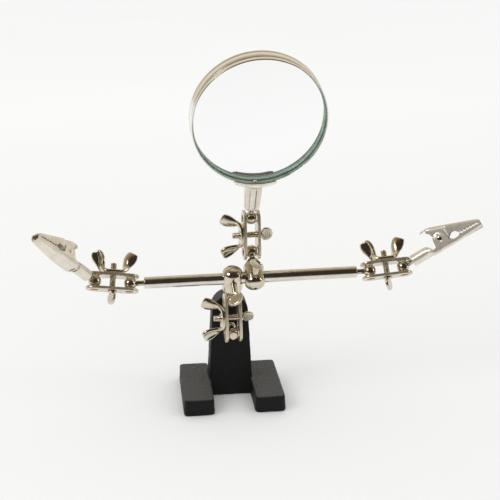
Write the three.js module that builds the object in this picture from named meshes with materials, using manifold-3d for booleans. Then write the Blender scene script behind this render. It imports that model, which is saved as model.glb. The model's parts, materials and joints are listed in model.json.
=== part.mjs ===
// Helping hands clamp: a cast base with an upright post, a cross rod held by two-plate ball
// clamps, a magnifier above the rod, and an alligator clip on a ball clamp at each rod end.
// Millimetres, +Z up, -Y front. The origin is on the floor, under the middle of the post.

import * as THREE from 'three';
import { mergeVertices } from 'three/addons/utils/BufferGeometryUtils.js';
import Module from 'manifold-3d';

const wasm = await Module();
wasm.setup();

// ---- Driving dimensions ----

const FLAT_GAP = 0.1; // between two faces that rest on each other
const RUN_GAP = 0.2; // round a pin, rod or ball that moves in a hole
const PRESS_GAP = 0.12; // round a shank that is pressed or crimped in

const base = {
  width: 49.6,
  length: 43.4,
  footWidth: 15.1,
  footHeight: 8.4,
  footCentre: -5.5,
  footCorner: 1.8,
  draft: 0.35,
  postDepth: 12,
  postHeight: 53.4,
  postTopRadius: 8.85,
  postBottomWidth: 22.6,
  studHeight: 38.2,
};

const ball = { radius: 3.05, neck: 1.2, shank: 1.45, standOff: 12, collar: 2.4, collarLength: 2.8 };
const plate = { pitch: 16.3, width: 8, thickness: 1.35, inside: 2.65, ballHole: 1.9, boltHole: 1.7 };
const bolt = { radius: 1.5, seat: 2.2, spadeWidth: 6.9, spadeLength: 6.4, spadeThickness: 1.6, tail: 5 };
const wing = { span: 21.4, height: 10.8, earRadius: 3.1, sheet: 1.3, hub: 4.2, boss: 2.7, bossHeight: 2.6 };
const rod = { radius: 2.73, bore: 1.95, length: 100.4, left: -41.2, ballReach: 6.4 };
const slider = { radius: 4.9, top: 6.2, shoulder: -5.6, coneEnd: -9.7, tip: 2.1, web: 1.4, ballReach: 13.7 };
const thumb = { radius: 1.5, spadeLength: 6.4 };
const lens = { ringRadius: 30.9, wall: 0.8, depth: 9.2, centre: 51.7, seat: 0.9, edge: 4.4, bulge: 1.7 };
const ferrule = { start: 5.3, end: 18.7, topRadius: 4.2, bottomRadius: 3.8, bore: 2.1 };
const saddle = {
  inside: 31.2,
  outside: 32.1,
  backLip: 28.6,
  frontLip: 30.3,
  halfAngle: 19,
  lipThickness: 0.9,
  rivet: 0.7,
  rivetHead: 0.95,
  rivetForward: 3.3,
};
const clip = {
  barrelStart: 5.5,
  barrelEnd: 13.4,
  barrelRadius: 2.3,
  floor: -2.6,
  sheet: 0.6,
  rear: 17.2,
  tip: 41.8,
  halfWidth: 3.1,
  leverHalfWidth: 2.3,
  padEnd: 15.2,
  taperFrom: 25.6,
  tipHalfWidth: 1.75,
  pivotZ: 22.1,
  pivotY: 2.4,
  ear: 3.3,
  rivet: 0.8,
  rivetHead: 1.4,
  top: 9.35,
};
const spring = { coil: 1.35, wire: 0.28, turns: 3, halfSpan: 1.1 };

// Rest pose, in degrees: leans are towards the front, rolls towards the right, turns about a
// piece's own length. The magnifier slider's place is in millimetres along the rod, and each
// thumb screw's reach is in millimetres from the rod's axis to the end of its spade.
const rest = {
  armRoll: -0.7,
  lowerClampLean: -7,
  carrierLean: 18,
  magnifierSliderLean: -46,
  upperClampLean: -3.8,
  magnifierLean: 16,
  magnifierRoll: 2.7,
  magnifierTurn: 2,
  magnifierSliderPlace: 10.3,
  clampTurn: 5,
  boltTurn: { lower: 40, upper: 20, left: 65, right: -60 },
  thumbTurn: { carrier: 35, magnifier: -35 },
  thumbReach: { carrier: 19.2, magnifier: 16.4 },
};

// The end clamps run along the rod, a little raised, with their plates leaning back.
const endClamps = {
  left: { along: [-0.991, 0, 0.131], edge: [0.06, -0.84, 0.54] },
  right: { along: [0.997, 0, 0.073], edge: [0.04, 0.84, -0.545] },
};
const clips = {
  left: { along: [-0.55, -0.46, 0.69], top: [0.03, 0.82, 0.57] },
  right: { along: [0.8, -0.19, 0.56], top: [-0.42, 0.46, 0.78] },
};

const ROUND = 16; // facets round a turned part
const FINE = 48; // facets round the magnifier
const degrees = THREE.MathUtils.degToRad;

// ---- Materials ----

const metal = (color, roughness) => new THREE.MeshStandardMaterial({ color, roughness, metalness: 1 });
const brightPlate = metal(0xd8d0c2, 0.15);
const satinPlate = metal(0xcfc9bb, 0.35);
const clampPlateFinish = metal(0xc9c2b4, 0.3);
const springSteel = metal(0xa9a8a4, 0.3);
const blackPaint = new THREE.MeshStandardMaterial({ color: 0x1b1c1d, roughness: 0.7, metalness: 0.1 });
const glass = new THREE.MeshStandardMaterial({
  color: 0xcfe6da,
  roughness: 0.02,
  metalness: 0,
  transparent: true,
  opacity: 0.35,
});

// ---- Solids: joining and cutting closed shapes ----

function solid(geometry) {
  const bare = geometry.index ? geometry.toNonIndexed() : geometry.clone();
  bare.deleteAttribute('normal');
  bare.deleteAttribute('uv');
  const merged = mergeVertices(bare, 1e-4);
  const corners = merged.index.array;
  const triangles = [];
  for (let i = 0; i < corners.length; i += 3) {
    const [a, b, c] = [corners[i], corners[i + 1], corners[i + 2]];
    if (a !== b && b !== c && a !== c) triangles.push(a, b, c);
  }
  const mesh = new wasm.Mesh({
    numProp: 3,
    vertProperties: new Float32Array(merged.attributes.position.array),
    triVerts: new Uint32Array(triangles),
  });
  return new wasm.Manifold(mesh);
}

function geometryOf(body) {
  const mesh = body.getMesh();
  const geometry = new THREE.BufferGeometry();
  geometry.setAttribute('position', new THREE.BufferAttribute(new Float32Array(mesh.vertProperties), 3));
  geometry.setIndex(new THREE.BufferAttribute(new Uint32Array(mesh.triVerts), 1));
  geometry.computeVertexNormals();
  return geometry;
}

const join = (...shapes) => shapes.map(solid).reduce((whole, next) => whole.add(next));
const cut = (body, ...holes) => holes.map(solid).reduce((left, hole) => left.subtract(hole), body);

// ---- Basic shapes ----

// A profile of [radius, z] points, listed upwards from the axis, turned about Z.
function turned(profile, facets = ROUND) {
  const points = profile.map(([radius, z]) => new THREE.Vector2(radius, z));
  return new THREE.LatheGeometry(points, facets).rotateX(Math.PI / 2);
}

// A cylinder along Z from one height to another.
function pin(radius, from, to, facets = ROUND) {
  return new THREE.CylinderGeometry(radius, radius, to - from, facets)
    .rotateX(Math.PI / 2)
    .translate(0, 0, (from + to) / 2);
}

const alongX = (geometry) => geometry.rotateY(Math.PI / 2);

// An outline in the YZ plane, given as [z, y] points, made thick about X = 0.
function sideways(shape, width) {
  return new THREE.ExtrudeGeometry(shape, { depth: width, bevelEnabled: false, curveSegments: 6 })
    .translate(0, 0, -width / 2)
    .rotateY(-Math.PI / 2);
}

// An outline in the XZ plane, given as [x, z] points, from one Y to another.
function upright(shape, fromY, toY, segments = 10) {
  const settings = { depth: toY - fromY, bevelEnabled: false, curveSegments: segments };
  return new THREE.ExtrudeGeometry(shape, settings).rotateX(Math.PI / 2).translate(0, toY, 0);
}

const outline = (points) => new THREE.Shape(points.map(([x, y]) => new THREE.Vector2(x, y)));

// Points on an arc about a centre, angles in degrees.
function arc([x, y], radius, from, to, steps) {
  return Array.from({ length: steps + 1 }, (_, i) => {
    const angle = degrees(from + ((to - from) * i) / steps);
    return [x + radius * Math.cos(angle), y + radius * Math.sin(angle)];
  });
}

// ---- Base ----

// One foot, about the origin: rounded upright corners, and a top a little smaller than its foot.
function foot() {
  const [x, y] = [base.footWidth / 2 - base.footCorner, base.length / 2 - base.footCorner];
  const corners = [[x, y], [-x, y], [-x, -y], [x, -y]];
  const shape = outline(corners.flatMap((centre, i) =>
    arc(centre, base.footCorner, 90 * i, 90 * (i + 1), 4)));
  const block = new THREE.ExtrudeGeometry(shape, { depth: base.footHeight, bevelEnabled: false });
  const point = block.attributes.position;
  for (let i = 0; i < point.count; i += 1) {
    if (point.getZ(i) > 0) {
      point.setX(i, point.getX(i) * (1 - (2 * base.draft) / base.footWidth));
      point.setY(i, point.getY(i) * (1 - (2 * base.draft) / base.length));
    }
  }
  return block;
}

function post() {
  const shoulder = base.postHeight - base.postTopRadius;
  const shape = outline([
    [-base.postBottomWidth / 2, 0],
    [base.postBottomWidth / 2, 0],
    ...arc([0, shoulder], base.postTopRadius, 0, 180, 16),
  ]);
  return upright(shape, -base.postDepth / 2, base.postDepth / 2);
}

function baseCasting() {
  const footPlace = (base.width - base.footWidth) / 2;
  const feet = [-footPlace, footPlace].map((x) => foot().translate(x, base.footCentre, 0));
  const seatDepth = 8;
  const seat = pin(ball.shank + PRESS_GAP, 0, seatDepth + 1)
    .rotateX(-Math.PI / 2)
    .translate(0, -base.postDepth / 2 - 1, base.studHeight);
  return geometryOf(cut(join(post(), ...feet), seat));
}

// ---- Ball studs: ball at the origin, shank along +Z ----

function ballStud(neckEnd, shankRadius, shankEnd, collarRadius = 0) {
  const neckAngle = 90 - THREE.MathUtils.radToDeg(Math.asin(ball.neck / ball.radius));
  const profile = [
    [0, -ball.radius],
    ...arc([0, 0], ball.radius, -90, neckAngle, 8).slice(1),
    [ball.neck, neckEnd],
  ];
  if (collarRadius > 0) {
    profile.push([collarRadius, neckEnd], [collarRadius, neckEnd + ball.collarLength]);
  }
  const shankStart = profile[profile.length - 1][1];
  profile.push([shankRadius, shankStart], [shankRadius, shankEnd], [0, shankEnd]);
  return geometryOf(join(turned(profile)));
}

// ---- Two-plate ball clamp: first ball at the origin, second ball up Z, bolt along X ----

function clampPlate(innerX, outerX) {
  const half = plate.width / 2;
  const shape = outline([
    ...arc([0, 0], half, 180, 360, 8),
    ...arc([0, plate.pitch], half, 0, 180, 8),
  ]);
  const holes = [[0, plate.ballHole], [plate.pitch / 2, plate.boltHole], [plate.pitch, plate.ballHole]];
  for (const [z, radius] of holes) {
    const hole = new THREE.Path();
    hole.absarc(0, z, radius, 0, 2 * Math.PI, true);
    shape.holes.push(hole);
  }
  const settings = { depth: outerX - innerX, bevelEnabled: false, curveSegments: 8 };
  return new THREE.ExtrudeGeometry(shape, settings)
    .rotateX(Math.PI / 2)
    .rotateZ(Math.PI / 2)
    .translate(innerX, 0, 0);
}

// A thumb grip: a round-ended flat blade along +Z, in the XZ plane.
function spade(from, to) {
  const radius = bolt.spadeWidth / 2;
  const shape = outline([
    [-bolt.radius, from],
    [bolt.radius, from],
    ...arc([0, to - radius], radius, -35, 215, 14),
  ]);
  return upright(shape, -bolt.spadeThickness / 2, bolt.spadeThickness / 2);
}

// Clamp bolt: its spade turned by some degrees about its own length, a slot across its tail.
function clampBolt(turn) {
  const face = plate.inside + plate.thickness;
  const seatThickness = 0.8;
  const slot = { width: 0.6, depth: 0.9 };
  const blade = spade(face + seatThickness, face + bolt.spadeLength);
  const seat = pin(bolt.seat, face + FLAT_GAP, face + seatThickness + 0.2);
  const shank = pin(bolt.radius, -face - bolt.tail, face + seatThickness);
  const slotCut = new THREE.BoxGeometry(slot.width, 2 * bolt.radius + 1, 2 * slot.depth)
    .translate(0, 0, -face - bolt.tail);
  return geometryOf(cut(join(blade, seat, shank), slotCut)).rotateZ(degrees(turn)).rotateY(Math.PI / 2);
}

// Stamped wing nut: threaded hub on the clamp face, two ears standing off it along Z.
function wingNut() {
  const earPlace = wing.span / 2 - wing.earRadius;
  const earFoot = wing.boss - 0.3;
  const earShoulder = wing.boss + 0.7;
  const hub = pin(wing.hub, 0, wing.sheet);
  const boss = pin(wing.boss, 0, wing.bossHeight);
  const ear = [
    [earFoot, 0],
    [wing.hub, 0],
    ...arc([earPlace, wing.height - wing.earRadius], wing.earRadius, -60, 170, 8),
    [earShoulder, wing.sheet + 0.4],
    [earFoot, wing.sheet],
  ];
  const ears = [-1, 1].map((side) =>
    upright(outline(ear.map(([x, z]) => [side * x, z])), -wing.sheet / 2, wing.sheet / 2));
  const thread = pin(bolt.radius + RUN_GAP, -1, wing.height);
  const nut = cut(join(hub, boss, ...ears), thread);
  // The nut is drawn standing up Z with its ears along X: turn it to stand out along -X.
  const face = plate.inside + plate.thickness + FLAT_GAP;
  return geometryOf(nut).rotateY(-Math.PI / 2).translate(-face, 0, 0);
}

// ---- Sliders on the rod: rod axis along X through the origin, ball end at -Z ----

function sliderBarrel() {
  const rounding = 2.2;
  const body = turned([
    [0, slider.coneEnd],
    [slider.tip, slider.coneEnd],
    [slider.radius, slider.shoulder],
    ...arc([slider.radius - rounding, slider.top - rounding], rounding, 0, 90, 4),
    [0, slider.top],
  ], 24);
  const rodHole = alongX(pin(rod.radius + RUN_GAP, -slider.radius - 1, slider.radius + 1, 24));
  const studHole = pin(ball.shank + PRESS_GAP, slider.coneEnd - 1, -rod.radius - slider.web);
  const screwHole = pin(thumb.radius + PRESS_GAP, 0, slider.radius + 1).rotateX(Math.PI / 2);
  return geometryOf(cut(join(body), rodHole, studHole, screwHole));
}

// Thumb screw: radial, along -Y, its tip just clear of the rod, its spade turned about its length
// and ending at a reach from the rod's axis.
function thumbScrew(turn, reach) {
  const spadeStart = reach - thumb.spadeLength;
  const blade = spade(spadeStart, reach);
  const shank = pin(thumb.radius, rod.radius + RUN_GAP, spadeStart + 0.5);
  return geometryOf(join(shank, blade)).rotateZ(degrees(turn)).rotateX(Math.PI / 2);
}

// ---- Cross rod: along X, from its left end at the origin ----

function rodTube() {
  const shape = new THREE.Shape().absarc(0, 0, rod.radius, 0, 2 * Math.PI, false);
  const bore = new THREE.Path();
  bore.absarc(0, 0, rod.bore, 0, 2 * Math.PI, true);
  shape.holes.push(bore);
  const settings = { depth: rod.length, bevelEnabled: false, curveSegments: 12 };
  return alongX(new THREE.ExtrudeGeometry(shape, settings));
}

// ---- Magnifier: ball at the origin, ring centre up Z, lens axis along Y ----

const ringCentre = (geometry) => geometry.rotateX(-Math.PI / 2).translate(0, 0, lens.centre);

function magnifierRing() {
  const outer = lens.ringRadius;
  const inner = outer - lens.wall;
  const half = lens.depth / 2;
  const seat = lens.edge / 2 + 0.15;
  const bead = 0.75; // the lens sits between two beads of this width and height
  const beadInner = inner - bead;
  const section = [
    [outer, -half],
    [outer, half],
    [inner, half],
    [inner, lens.seat + seat + bead],
    [beadInner, lens.seat + seat + bead],
    [beadInner, lens.seat + seat],
    [inner, lens.seat + seat],
    [inner, lens.seat - seat],
    [beadInner, lens.seat - seat],
    [beadInner, lens.seat - seat - bead],
    [inner, lens.seat - seat - bead],
    [inner, -half],
    [outer, -half],
  ];
  const rivetHole = pin(saddle.rivet + PRESS_GAP, lens.ringRadius - 3, lens.ringRadius + 3, 12)
    .rotateX(-Math.PI / 2)
    .translate(0, 0, -saddle.rivetForward);
  return ringCentre(geometryOf(cut(join(turned(section, FINE)), rivetHole)));
}

function magnifierLens() {
  const radius = lens.ringRadius - lens.wall - 0.25;
  const half = lens.edge / 2;
  const sag = (t) => half + lens.bulge * (1 - t * t);
  const steps = [0, 0.3, 0.55, 0.8, 1];
  const profile = [
    ...steps.map((t) => [radius * t, -sag(t)]),
    ...steps.map((t) => [radius * t, sag(t)]).reverse(),
  ];
  return ringCentre(geometryOf(join(turned(profile, FINE).translate(0, 0, lens.seat))));
}

// A band of the saddle, curved round the foot of the ring.
function saddleBand(innerRadius, outerRadius, fromY, toY) {
  const [from, to] = [-90 - saddle.halfAngle, -90 + saddle.halfAngle];
  const shape = outline([
    ...arc([0, lens.centre], outerRadius, from, to, 10),
    ...arc([0, lens.centre], innerRadius, to, from, 10),
  ]);
  return upright(shape, fromY, toY);
}

function saddleBracket() {
  const half = lens.depth / 2 + 0.25;
  const outerHalf = half + saddle.lipThickness;
  const strap = saddleBand(saddle.inside, saddle.outside, -outerHalf, outerHalf);
  const frontLip = saddleBand(saddle.frontLip, saddle.outside, -outerHalf, -half);
  const backLip = saddleBand(saddle.backLip, saddle.outside, half, outerHalf);
  const tangEnd = lens.centre - saddle.outside + 0.4;
  const tangLength = 7;
  const tang = new THREE.BoxGeometry(2.6, 2.2, tangLength).translate(0, 0, tangEnd - tangLength / 2);
  const hole = saddle.rivet + PRESS_GAP;
  const rivetHole = pin(hole, lens.centre - saddle.outside - 1, lens.centre - saddle.inside + 1, 12)
    .translate(0, -saddle.rivetForward, 0);
  return geometryOf(cut(join(strap, frontLip, backLip, tang), rivetHole));
}

function saddleRivet() {
  const headFace = lens.centre - lens.ringRadius + lens.wall + FLAT_GAP;
  const shank = pin(saddle.rivet, lens.centre - saddle.outside, headFace + 0.2, 12);
  const head = pin(saddle.rivetHead, headFace, headFace + 0.5, 12);
  return geometryOf(join(shank, head)).translate(0, -saddle.rivetForward, 0);
}

function handleFerrule() {
  const lip = 1;
  const section = [
    [ferrule.bore, ferrule.start],
    [ferrule.bottomRadius - lip, ferrule.start],
    [ferrule.bottomRadius, ferrule.start + lip],
    [ferrule.topRadius, ferrule.end],
    [ferrule.bore, ferrule.end],
    [ferrule.bore, ferrule.start],
  ];
  return geometryOf(join(turned(section)));
}

// ---- Alligator clip: ball at the origin, jaws along +Z, lever on the +Y side, pivot along X ----

// The clip seen from above, symmetric about its axis: [z, half width] points from rear to tip.
function plan(halves, inset, fromY, toY) {
  const right = halves.map(([z, half]) => [half - inset, z]);
  const left = halves.map(([z, half]) => [inset - half, z]).reverse();
  return upright(outline([...right, ...left]), fromY, toY);
}

const atPivot = (geometry) => alongX(geometry).translate(0, clip.pivotY, clip.pivotZ);
const pivotHole = () => atPivot(pin(clip.rivet + PRESS_GAP, -5, 5, 12));

function clipJaw() {
  const side = sideways(outline([
    [clip.rear, clip.floor],
    [clip.tip, clip.floor],
    [clip.tip, -0.5],
    [31, 0.1],
    [29.6, -0.9],
    [27.4, -0.9],
    [25.9, 0.3],
    ...arc([clip.pivotZ, clip.pivotY], clip.ear, -30, 205, 10),
    [17.9, -0.4],
  ]), 8);
  const jawPlan = (rear, tip) =>
    [[rear, clip.halfWidth], [clip.taperFrom, clip.halfWidth], [tip, clip.tipHalfWidth]];
  const inside = plan(jawPlan(clip.rear - 1, clip.tip - 0.9), clip.sheet, clip.floor + clip.sheet, 8);
  const trough = sideways(outline([
    [clip.barrelEnd - 0.4, -clip.barrelRadius],
    [clip.rear + 0.3, clip.floor],
    [clip.rear + 0.5, -0.2],
    [clip.barrelEnd - 0.4, 1.2],
  ]), 8);
  const troughPlan = (rear, front) => [[rear, clip.barrelRadius], [front, clip.halfWidth]];
  const troughInside = plan(
    troughPlan(clip.barrelEnd - 1, clip.rear + 1), clip.sheet, clip.floor + clip.sheet + 0.15, 8);
  const bridgePlan = plan(troughPlan(clip.barrelEnd - 0.4, clip.rear + 0.6), 0, -8, 8);
  const barrel = pin(clip.barrelRadius, clip.barrelStart, clip.barrelEnd);
  const bore = pin(ball.shank + PRESS_GAP, clip.barrelStart - 1, clip.barrelEnd + 1);
  const channelPlan = plan(jawPlan(clip.rear, clip.tip), 0, -8, 8);
  const channel = solid(side).intersect(solid(channelPlan)).subtract(solid(inside));
  const bridge = solid(trough).intersect(solid(bridgePlan)).subtract(solid(troughInside));
  return geometryOf(cut(channel.add(bridge).add(solid(barrel)), bore, pivotHole()));
}

function clipLever() {
  const topRear = [19.6, clip.top];
  const topTip = [clip.tip, 1.4];
  const side = sideways(outline([
    [clip.tip, -0.15],
    topTip,
    topRear,
    [18.3, clip.top],
    [18.9, 6.4],
    ...arc([clip.pivotZ, clip.pivotY], 2.3, 160, 300, 6),
    [26.2, 1.1],
    [27.4, 2.3],
    [29.6, 2.3],
    [31, 0.45],
  ]), 8);
  const leverPlan = (rear, tip) => [
    [rear, clip.leverHalfWidth],
    [clip.taperFrom + 0.2, clip.leverHalfWidth],
    [clip.taperFrom + 1, clip.halfWidth - 0.1],
    [tip, clip.tipHalfWidth],
  ];
  const inside = sideways(outline([
    [clip.tip - 0.9, -4],
    [topTip[0] - 0.9, topTip[1] - clip.sheet + 0.33],
    [topRear[0], topRear[1] - clip.sheet],
    [17, topRear[1] - clip.sheet],
    [17, -4],
  ]), 8);
  const insidePlan = plan(leverPlan(17, clip.tip - 0.9), clip.sheet, -4, 12);
  const pad = upright(outline([
    [clip.leverHalfWidth, topRear[0] + 0.4],
    ...arc([0, clip.padEnd + clip.leverHalfWidth], clip.leverHalfWidth, 0, -180, 8),
    [-clip.leverHalfWidth, topRear[0] + 0.4],
  ]), topRear[1] - clip.sheet, topRear[1]);
  const outer = solid(side).intersect(solid(plan(leverPlan(18, clip.tip), 0, -4, 12)));
  const shell = outer.subtract(solid(inside).intersect(solid(insidePlan)));
  return geometryOf(cut(shell.add(solid(pad)), pivotHole()));
}

function clipRivet() {
  const face = clip.halfWidth + FLAT_GAP;
  const end = face + 0.5;
  const shank = pin(clip.rivet, -end, end, 12);
  const heads = [pin(clip.rivetHead, face, end, 12), pin(clip.rivetHead, -end, -face, 12)];
  return atPivot(geometryOf(join(shank, ...heads)));
}

// Torsion spring: turns round the rivet, one leg under the lever and one on the jaw's floor.
function clipSpring() {
  const startAngle = 100;
  const endAngle = startAngle + 360 * spring.turns + 140;
  const steps = 26;
  const points = [new THREE.Vector3(-spring.halfSpan, clip.top - 1.05, clip.rear + 0.4)];
  for (let i = 0; i <= steps; i += 1) {
    const part = i / steps;
    const angle = degrees(startAngle + (endAngle - startAngle) * part);
    points.push(new THREE.Vector3(
      spring.halfSpan * (2 * part - 1),
      clip.pivotY + spring.coil * Math.sin(angle),
      clip.pivotZ + spring.coil * Math.cos(angle),
    ));
  }
  points.push(new THREE.Vector3(spring.halfSpan, clip.floor + clip.sheet + 0.5, clip.rear + 0.7));
  const path = new THREE.CatmullRomCurve3(points, false, 'chordal');
  const round = outline(arc([0, 0], spring.wire, 0, 300, 5));
  return new THREE.ExtrudeGeometry(round, { steps: 44, extrudePath: path, bevelEnabled: false });
}

// ---- Assembly ----

function named(name, geometry, material) {
  const mesh = new THREE.Mesh(geometry, material);
  mesh.name = name;
  return mesh;
}

// A group at a place, turned by three angles in degrees.
function placed([x, y, z], [leanX, rollY, turnZ], ...children) {
  const group = new THREE.Group();
  group.position.set(x, y, z);
  group.rotation.set(degrees(leanX), degrees(rollY), degrees(turnZ));
  group.add(...children);
  return group;
}

// A group at a place, its Z along one direction and its Y near another.
function aimed([x, y, z], along, near, ...children) {
  const zAxis = new THREE.Vector3(...along).normalize();
  const xAxis = new THREE.Vector3(...near).cross(zAxis).normalize();
  const yAxis = new THREE.Vector3().crossVectors(zAxis, xAxis);
  const group = new THREE.Group();
  group.position.set(x, y, z);
  group.quaternion.setFromRotationMatrix(new THREE.Matrix4().makeBasis(xAxis, yAxis, zAxis));
  group.add(...children);
  return group;
}

// From one place, a distance up a direction that leans to the front.
function up([x, y, z], lean, distance) {
  return [x, y - Math.sin(degrees(lean)) * distance, z + Math.cos(degrees(lean)) * distance];
}

function towards([x, y, z], along, distance) {
  const step = new THREE.Vector3(...along).setLength(distance);
  return [x + step.x, y + step.y, z + step.z];
}

// The wing nut side of a clamp is at -X of its own frame, the spade side at +X.
function clampPieces(name, nutSide, spadeSide, boltTurn) {
  const outer = plate.inside + plate.thickness;
  return [
    named(`${name}_${nutSide}_plate`, clampPlate(-outer, -plate.inside), clampPlateFinish),
    named(`${name}_${spadeSide}_plate`, clampPlate(plate.inside, outer), clampPlateFinish),
    named(`${name}_bolt`, clampBolt(boltTurn).translate(0, 0, plate.pitch / 2), brightPlate),
    named(`${name}_wing_nut`, wingNut().translate(0, 0, plate.pitch / 2), brightPlate),
  ];
}

function sliderPieces(name, thumbTurn, thumbReach) {
  const studLength = slider.ballReach - rod.radius - slider.web - 0.3;
  const stud = ballStud(5, ball.shank, studLength).translate(0, 0, -slider.ballReach);
  return [
    named(`${name}_barrel`, sliderBarrel(), brightPlate),
    named(`${name}_ball_stud`, stud, brightPlate),
    named(`${name}_thumb_screw`, thumbScrew(thumbTurn, thumbReach), brightPlate),
  ];
}

function magnifierPieces() {
  return [
    named('magnifier_ball_stud', ballStud(ferrule.start + 0.5, ball.shank, 10.5), brightPlate),
    named('magnifier_ferrule', handleFerrule(), satinPlate),
    named('magnifier_saddle', saddleBracket(), satinPlate),
    named('magnifier_rivet', saddleRivet(), brightPlate),
    named('magnifier_ring', magnifierRing(), brightPlate),
    named('magnifier_lens', magnifierLens(), glass),
  ];
}

function clipPieces(name) {
  return [
    named(`${name}_ball_stud`, ballStud(clip.barrelStart, ball.shank, 12.4), brightPlate),
    named(`${name}_jaw`, clipJaw(), satinPlate),
    named(`${name}_lever`, clipLever(), satinPlate),
    named(`${name}_rivet`, clipRivet(), brightPlate),
    named(`${name}_spring`, clipSpring(), springSteel),
  ];
}

// Everything above the base, from the base ball at the origin.
function arm() {
  const baseBall = [0, 0, 0];
  const carrierBall = up(baseBall, rest.lowerClampLean, plate.pitch);
  const rodMiddle = up(carrierBall, rest.carrierLean, slider.ballReach);
  const sliderPlace = [rodMiddle[0] + rest.magnifierSliderPlace, rodMiddle[1], rodMiddle[2]];
  const upperBall = up(sliderPlace, rest.magnifierSliderLean, slider.ballReach);
  const magnifierBall = up(upperBall, rest.upperClampLean, plate.pitch);
  const rodLeft = [rodMiddle[0] + rod.left, rodMiddle[1], rodMiddle[2]];
  const ends = {
    left: [rodLeft[0] - rod.ballReach, rodLeft[1], rodLeft[2]],
    right: [rodLeft[0] + rod.length + rod.ballReach, rodLeft[1], rodLeft[2]],
  };
  const rodStud = () => ballStud(rod.ballReach, rod.bore - PRESS_GAP, rod.ballReach + 9);

  const collarStart = ball.standOff - ball.collarLength - FLAT_GAP;
  const stud = ballStud(collarStart, ball.shank, ball.standOff + 7.5, ball.collar);
  const group = placed([0, -base.postDepth / 2 - ball.standOff, base.studHeight], [0, rest.armRoll, 0],
    named('base_ball_stud', stud.rotateX(-Math.PI / 2), brightPlate),
    placed(baseBall, [rest.lowerClampLean, 0, rest.clampTurn],
      ...clampPieces('lower_clamp', 'left', 'right', rest.boltTurn.lower)),
    placed(rodMiddle, [rest.carrierLean, 0, 0],
      ...sliderPieces('carrier', rest.thumbTurn.carrier, rest.thumbReach.carrier)),
    placed(rodLeft, [0, 0, 0], named('cross_rod', rodTube(), brightPlate)),
    placed(ends.left, [0, 90, 0], named('cross_rod_left_ball', rodStud(), brightPlate)),
    placed(ends.right, [0, -90, 0], named('cross_rod_right_ball', rodStud(), brightPlate)),
    placed(sliderPlace, [rest.magnifierSliderLean, 0, 0],
      ...flipped(sliderPieces('magnifier_slider', rest.thumbTurn.magnifier, rest.thumbReach.magnifier))),
    placed(upperBall, [rest.upperClampLean, 0, rest.clampTurn],
      ...clampPieces('upper_clamp', 'left', 'right', rest.boltTurn.upper)),
    placed(magnifierBall, [rest.magnifierLean, rest.magnifierRoll, rest.magnifierTurn],
      ...magnifierPieces()));

  for (const side of ['left', 'right']) {
    const { along, edge } = endClamps[side];
    const clipBall = towards(ends[side], along, plate.pitch);
    const clampSet = clampPieces(`${side}_clamp`, 'top', 'bottom', rest.boltTurn[side]);
    group.add(aimed(ends[side], along, edge, ...clampSet));
    group.add(aimed(clipBall, clips[side].along, clips[side].top, ...clipPieces(`${side}_clip`)));
  }
  return group;
}

// The same slider the other way up, its ball end at +Z and its thumb screw still at -Y.
function flipped(pieces) {
  for (const piece of pieces) piece.geometry.rotateY(Math.PI);
  return pieces;
}

const helpingHands = new THREE.Group();
helpingHands.add(named('base_casting', baseCasting(), blackPaint), arm());

export default helpingHands;
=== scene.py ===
"""Looks for the helping hands clamp: sheet-metal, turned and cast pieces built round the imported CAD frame."""

import json
import math
from types import SimpleNamespace

import bmesh
import bpy
import numpy as np
from mathutils import Matrix, Vector


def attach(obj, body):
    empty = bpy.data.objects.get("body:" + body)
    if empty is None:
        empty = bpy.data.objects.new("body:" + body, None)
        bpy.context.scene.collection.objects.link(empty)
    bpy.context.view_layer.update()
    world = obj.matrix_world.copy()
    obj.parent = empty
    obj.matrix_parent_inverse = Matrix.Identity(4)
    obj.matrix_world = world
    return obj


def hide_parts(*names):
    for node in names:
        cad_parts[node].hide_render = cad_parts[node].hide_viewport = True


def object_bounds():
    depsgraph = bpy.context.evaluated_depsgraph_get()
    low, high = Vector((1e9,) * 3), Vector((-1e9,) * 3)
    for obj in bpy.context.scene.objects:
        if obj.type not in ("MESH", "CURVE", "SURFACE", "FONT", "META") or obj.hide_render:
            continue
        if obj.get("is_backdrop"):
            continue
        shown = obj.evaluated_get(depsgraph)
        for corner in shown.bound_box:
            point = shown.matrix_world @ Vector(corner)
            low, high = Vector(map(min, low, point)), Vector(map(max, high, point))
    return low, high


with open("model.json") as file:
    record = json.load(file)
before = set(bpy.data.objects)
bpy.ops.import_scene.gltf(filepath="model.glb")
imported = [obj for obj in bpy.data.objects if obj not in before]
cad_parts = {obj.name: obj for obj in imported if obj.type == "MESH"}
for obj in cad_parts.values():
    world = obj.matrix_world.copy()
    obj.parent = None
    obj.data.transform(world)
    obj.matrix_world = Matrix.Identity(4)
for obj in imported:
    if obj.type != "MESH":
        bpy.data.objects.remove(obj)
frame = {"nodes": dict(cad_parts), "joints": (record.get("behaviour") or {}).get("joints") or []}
bounds_at_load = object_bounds()

MM = 0.001  # every shape below is drawn in millimetres, in its own local frame
ROUND = 40  # points round a turned piece
joints = {joint["name"]: joint for joint in frame["joints"]}

# ---- Sizes, in millimetres ----

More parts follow.
